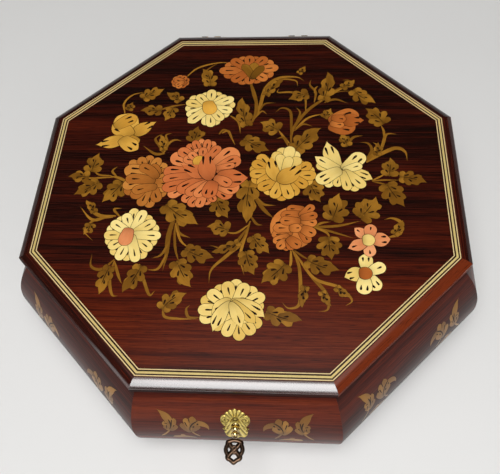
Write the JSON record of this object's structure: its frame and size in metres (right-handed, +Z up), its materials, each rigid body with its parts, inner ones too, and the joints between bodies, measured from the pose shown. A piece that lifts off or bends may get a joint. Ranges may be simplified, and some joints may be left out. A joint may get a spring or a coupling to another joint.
{
  "type": "inlaid wooden keepsake box",
  "caption": "Eight-sided inlaid wooden box with bulging walls, a hinged lid, a box lock behind a brass escutcheon, and an openwork key that throws the bolt.",
  "frame": {"origin": "centre of the felt foot, on the surface that the box stands on", "axes": "+Z up, the lock and key face -Y, the hinges are at +Y, +X to the right seen from the lock"},
  "size_m": [0.3048, 0.3246, 0.086],
  "materials": {
    "rosewood": "glossy lacquer over straight dark-streaked grain",
    "core_wood": "plain sanded wood",
    "felt": "thin pressed felt",
    "velvet": "short-pile velvet",
    "flower_wood": "lacquered inlay in cream, golden, salmon and orange-brown woods",
    "leaf_wood": "lacquered olive-gold inlay",
    "pale_wood": "lacquered pale stringing",
    "dark_wood": "lacquered dark stringing",
    "cast_brass": "cast, aged, bright on its high spots",
    "sheet_brass": "brushed sheet",
    "brass_screw": "turned",
    "steel": "drawn steel",
    "key_bronze": "dark antiqued, bright where it is rubbed"
  },
  "bodies": {
    "box": {"wall_front": "rosewood", "wall_front_right": "rosewood", "wall_right": "rosewood", "wall_back_right": "rosewood", "wall_back": "rosewood", "wall_back_left": "rosewood", "wall_left": "rosewood", "wall_front_left": "rosewood", "base_panel": "core_wood", "base_felt": "felt", "base_brads": "steel", "lining_floor": "velvet", "lining_walls": "velvet", "wall_inlays": "leaf_wood", "escutcheon": "cast_brass", "escutcheon_pins": "cast_brass", "lock_case": "sheet_brass", "lock_cover": "sheet_brass", "lock_screws": "brass_screw", "lock_drill_pin": "steel", "lock_spring": "steel", "hinge_box_leaf_left": "sheet_brass", "hinge_box_leaf_right": "sheet_brass", "hinge_pin_left": "steel", "hinge_pin_right": "steel", "hinge_box_screws": "brass_screw"},
    "lid": {"lid_core": "core_wood", "lid_veneer": "rosewood", "banding_pale": "pale_wood", "banding_dark": "dark_wood", "flower_inlays": "flower_wood", "leaf_inlays": "leaf_wood", "lid_lining": "velvet", "link_plate": "sheet_brass", "link_screws": "brass_screw", "hinge_lid_leaf_left": "sheet_brass", "hinge_lid_leaf_right": "sheet_brass", "hinge_lid_screws": "brass_screw", "lid_edge_front": "rosewood", "lid_edge_front_right": "rosewood", "lid_edge_right": "rosewood", "lid_edge_back_right": "rosewood", "lid_edge_back": "rosewood", "lid_edge_back_left": "rosewood", "lid_edge_left": "rosewood", "lid_edge_front_left": "rosewood"},
    "key": {"key_shank": "key_bronze", "key_bow": "key_bronze"},
    "bolt": {"lock_bolt": "sheet_brass"}
  },
  "joints": [
    {"name": "lid_hinge", "type": "hinge", "parent": "box", "child": "lid", "pos_m": [0, 0.1424, 0.07885], "axis": [-1, 0, 0], "range_deg": [0, 100]},
    {"name": "key_turn", "type": "hinge", "parent": "box", "child": "key", "pos_m": [0, -0.1495, 0.052], "axis": [0, -1, 0], "range_deg": [0, 90]},
    {"name": "bolt_throw", "type": "slide", "parent": "box", "child": "bolt", "axis": [1, 0, 0], "range_m": [0, 0.006]}
  ],
  "couplings": [
    {"joint": "key_turn", "follows": "bolt_throw", "rad_per_m": 261.79}
  ]
}
